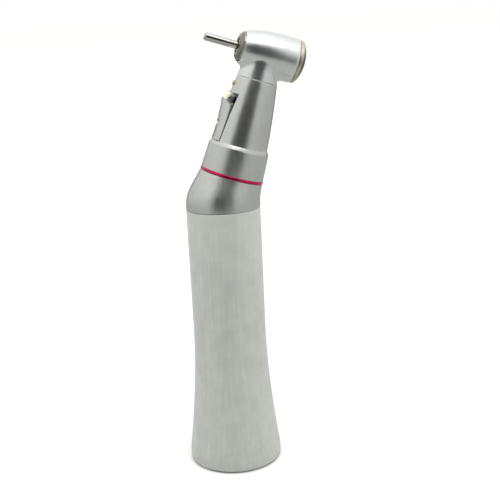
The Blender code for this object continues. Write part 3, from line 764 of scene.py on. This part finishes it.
def head_housing():
    levels = [HEAD_REAR - 0.25 - (HEAD_REAR - 0.25 + 3.7) * i / 40 for i in range(41)]
    corners = [(HEAD_R - 0.16, HEAD_REAR, 0.1), *[(head_radius(z), z, 0) for z in levels]]
    front = BARREL_FRONT
    corners += [(3.15, front + 0.05, 0.06), (3.05, front, 0.03), (3.05, front + 0.45, 0)]
    corners += [(BARREL_BORE_R, front + 0.45, 0), (BARREL_BORE_R, BARREL_STEP, 0)]
    corners += [(BARREL_SEAT_R, BARREL_STEP, 0), (BARREL_SEAT_R, HEAD_REAR, 0.08)]
    barrel = turned("head_shell", rounded(corners), HEAD, HEAD_LOOK, True, 192)
    stem = lofted("stem", stem_sections(), NECK, HEAD_LOOK)
    carve(barrel, stem, "UNION")
    bore = [(0, HEAD_S), (NECK_BORE_R, HEAD_S), (NECK_BORE_R, NECK_TOP - 2), (0, NECK_TOP - 2)]
    carve(barrel, turned("stem_bore", bore, NECK, None, False, SMALL_AROUND))
    past = BARREL_STEP + 0.01
    clear = [(0, past), (BARREL_BORE_R, past), (BARREL_BORE_R, HEAD_FRONT), (0, HEAD_FRONT)]
    carve(barrel, turned("barrel_bore", clear, HEAD, None, False, 192))
    barrel.data.shade_smooth()
    barrel.data.set_sharp_from_angle(angle=SMOOTH_UNDER)
    stands_for(barrel, "head_housing")


def front_cap():
    """The nose: a polished dome with a stepped mouth round the chuck. Its dark colour is partly the cap's own
    darker metal and partly painted dark reflection.
    """
    centre_r, centre_z, radius = 1.75, -4.45, 1.42
    dome = [radians(-30 - 58 * i / 16) for i in range(17)]
    corners = [(3.12, NOSE_HIGH, 0.04)]
    corners += [(centre_r + radius * cos(a), centre_z + radius * sin(a), 0) for a in dome]
    corners += [(1.5, NOSE_LOW + 0.05, 0.06), (1.5, -5.3, 0.05), (2.5, NOSE_HIGH, 0.03)]
    stands_for(turned("front_cap_shell", rounded(corners), HEAD, NOSE_LOOK), "front_cap")


def rear_cap():
    corners = [
        (CAP_R - 0.1, CAP_HIGH, 0.06), (CAP_R, CAP_HIGH - 0.12, 0.08), (CAP_R, 6.5, 0.08),
        (3.85, 6.5, 0.03), (3.85, CAP_LOW, 0.05), (1.5, CAP_LOW, 0.03), (1.5, 5.7, 0.03),
        (3.5, 5.7, 0.03), (3.5, 6.6, 0.03), (4.05, 6.8, 0.05), (4.05, CAP_HIGH, 0.06),
    ]
    stands_for(turned("rear_cap_shell", rounded(corners), HEAD, CHAMPAGNE), "rear_cap")


def push_button():
    """A shallow dome with a turned groove near its edge, a skirt and a stem."""
    crown = []
    for i in range(41):
        r = BUTTON_R * i / 40
        groove = 0.06 * max(0.0, 1 - ((r - 3.15) / 0.16) ** 2)
        crown.append((r, BUTTON_HIGH - 0.95 * (r / BUTTON_R) ** 2.4 - groove))
    corners = [(r, z, 0) for r, z in crown[:-1]] + [(*crown[-1], 0.06)]
    corners += [(BUTTON_R, 7.36, 0.05), (3.35, 7.36, 0.03), (3.35, 7.0, 0.05)]
    corners += [(0.9, 7.0, 0.05), (0.9, BUTTON_LOW, 0.08), (0, BUTTON_LOW, 0)]
    # The button shares the nose's look, whose dark colour is partly painted dark reflection.
    stands_for(turned("push_button_shell", rounded(corners, False), HEAD, NOSE_LOOK, False), "push_button")


def test_pin():
    corners = [
        (0, PIN_HIGH, 0), (PIN_R - 0.1, PIN_HIGH, 0.05), (PIN_R, PIN_HIGH - 0.15, 0.05),
        (PIN_R, PIN_LOW + 0.32, 0.1), (PIN_R - 0.2, PIN_LOW + 0.04, 0.12), (0, PIN_LOW, 0),
    ]
    pin = turned("test_pin_shell", rounded(corners, False), HEAD, PIN_LOOK, False, SMALL_AROUND)
    stands_for(pin, "test_pin")


def collet():
    low, high, outer = span("collet", HEAD)
    bore = 0.87
    corners = [(outer, high, 0.03), (outer, low + 0.1, 0.05), (outer - 0.08, low, 0.04)]
    corners += [(bore, low, 0.05), (bore, high, 0.03)]
    grip = turned("collet_shell", rounded(corners), HEAD, BRASS, True, SMALL_AROUND)
    for i in range(3):
        place = HEAD @ Matrix.Rotation(2 * pi * i / 3, 4, "Z")
        carve(grip, box_cutter(f"slit_{i}", (2, 0.16, 3.0), (1.3, 0, low + 0.95), place))
    grip.data.shade_smooth()
    grip.data.set_sharp_from_angle(angle=SMOOTH_UNDER)
    stands_for(grip, "collet")


def hidden_pieces():
    """The works inside keep their CAD shapes and get the finish of their slots."""
    for name, node in frame["nodes"].items():
        look = LOOK_OF_SLOT[SLOT_OF[name]]
        if not node.material_slots:
            node.data.materials.append(look)
        for slot in node.material_slots:
            slot.material = look


# Studio


FLOOR_HALF = 40.0
CARD_TURN = radians(-12.0)
CARD_DISTANCE = 0.26
CARD_HALF_WIDTH = 0.165
CARD_HEIGHT = 0.30
AZIMUTH = 10.0
ELEVATION = 14.6
ROLL = -2.66
DISTANCE = 0.1932
LENS = 65.07
AIM_OFFSET = Vector((0.96, 0.0, 0.41)) * MM
FLOOR_Z = -0.0003
SHEET_Z = -0.0002
SHEET_HALF = 1.5
HORIZON_STRENGTH = 0.80
OVERHEAD_STRENGTH = 1.45


def plain(name, colour, roughness):
    made = bpy.data.materials.new(name)
    made.use_nodes = True
    shader = made.node_tree.nodes["Principled BSDF"]
    shader.inputs["Base Color"].default_value = (*colour, 1)
    shader.inputs["Roughness"].default_value = roughness
    shader.inputs["Specular IOR Level"].default_value = 0.1
    return made


def stage_plane(name, half_x, half_y, place, look):
    shape = bmesh.new()
    corners = ((-half_x, -half_y), (half_x, -half_y), (half_x, half_y), (-half_x, half_y))
    shape.faces.new([shape.verts.new((x, y, 0)) for x, y in corners])
    made = as_object(name, shape, place, look)
    return made


def reflected_only(piece):
    piece.visible_camera = False
    piece.visible_shadow = False
    piece.visible_diffuse = False


def floor():
    """A pale floor, with a greyer sheet on it that only the reflections see."""
    place = Matrix.Translation((0, 0, FLOOR_Z))
    stage_plane("floor", FLOOR_HALF, FLOOR_HALF, place, plain("floor_look", (0.82, 0.82, 0.81), 0.9))
    place = Matrix.Translation((0, 0, SHEET_Z))
    grey = plain("sheet_look", (0.42, 0.43, 0.42), 0.9)
    reflected_only(stage_plane("grey_sheet", SHEET_HALF, SHEET_HALF, place, grey))


def cards():
    """Two dark cards that only the reflections see: a tall one in front, a low one behind."""
    dark = plain("card_look", (0.02, 0.02, 0.022), 0.9)
    for name, turn, height in (("card_front", 0.0, CARD_HEIGHT), ("card_back", pi, CARD_HEIGHT / 3)):
        round_to = Matrix.Rotation(CARD_TURN + turn, 4, "Z")
        place = round_to @ Matrix.Translation((0, -CARD_DISTANCE, height / 2))
        place = place @ Matrix.Rotation(pi / 2, 4, "X")
        reflected_only(stage_plane(name, CARD_HALF_WIDTH, height / 2, place, dark))


def soft_light(name, watts, size, place, target):
    lamp = bpy.data.lights.new(name, "AREA")
    lamp.energy = watts
    lamp.size = size
    made = bpy.data.objects.new(name, lamp)
    made.location = place
    made.rotation_mode = "QUATERNION"
    made.rotation_quaternion = (Vector(target) - Vector(place)).to_track_quat("-Z", "Y")
    made.visible_camera = False
    bpy.context.scene.collection.objects.link(made)


def studio():
    """Soft light from all round, brighter overhead. The camera sees plain white behind the floor."""
    world = bpy.data.worlds.new("studio")
    bpy.context.scene.world = world
    world.use_nodes = True
    tree = world.node_tree
    tree.nodes["Background"].inputs["Color"].default_value = (0.99, 1.0, 0.99, 1)
    place = tree.nodes.new("ShaderNodeTexCoord")
    split = tree.nodes.new("ShaderNodeSeparateXYZ")
    tree.links.new(place.outputs["Generated"], split.inputs["Vector"])
    rise = tree.nodes.new("ShaderNodeMapRange")
    rise.inputs["To Min"].default_value = HORIZON_STRENGTH
    rise.inputs["To Max"].default_value = OVERHEAD_STRENGTH
    tree.links.new(split.outputs["Z"], rise.inputs["Value"])
    sees = tree.nodes.new("ShaderNodeLightPath")
    choose = tree.nodes.new("ShaderNodeMix")
    tree.links.new(sees.outputs["Is Camera Ray"], choose.inputs["Factor"])
    tree.links.new(rise.outputs["Result"], choose.inputs["A"])
    choose.inputs["B"].default_value = 1.0
    tree.links.new(choose.outputs["Result"], tree.nodes["Background"].inputs["Strength"])
    soft_light("overhead", 9.0, 1.1, (0.1, -0.55, 1.5), (0.005, 0, 0.06))
    bpy.context.scene.view_settings.view_transform = "Standard"


def camera():
    """Looks down on the handpiece from the bur's side, as steeply as the picture does."""
    az, el, roll = radians(AZIMUTH), radians(ELEVATION), radians(ROLL)
    forward = Vector((sin(az) * cos(el), cos(az) * cos(el), -sin(el)))
    right = forward.cross(Vector((0, 0, 1))).normalized()
    up = right.cross(forward)
    turned_right = right * cos(roll) + up * sin(roll)
    turned_up = up * cos(roll) - right * sin(roll)
    lens = bpy.data.cameras.new("camera")
    lens.lens = LENS
    lens.clip_start = 0.005
    made = bpy.data.objects.new("camera", lens)
    place = Matrix((turned_right, turned_up, -forward)).transposed().to_4x4()
    place.translation = (CAD_BOX[0] + CAD_BOX[1]) / 2 + AIM_OFFSET - forward * DISTANCE
    made.matrix_world = place
    bpy.context.scene.collection.objects.link(made)
    bpy.context.scene.camera = made


camera()
grip_sleeve()
rear_ring()
motor_socket()
drive_dog()
elbow_housing()
colour_ring()
neck_collar()
neck_housing()
led_hood()
led()
hood_screw()
spray_nozzle()
head_housing()
front_cap()
rear_cap()
push_button()
test_pin()
collet()
hidden_pieces()
floor()
cards()
studio()
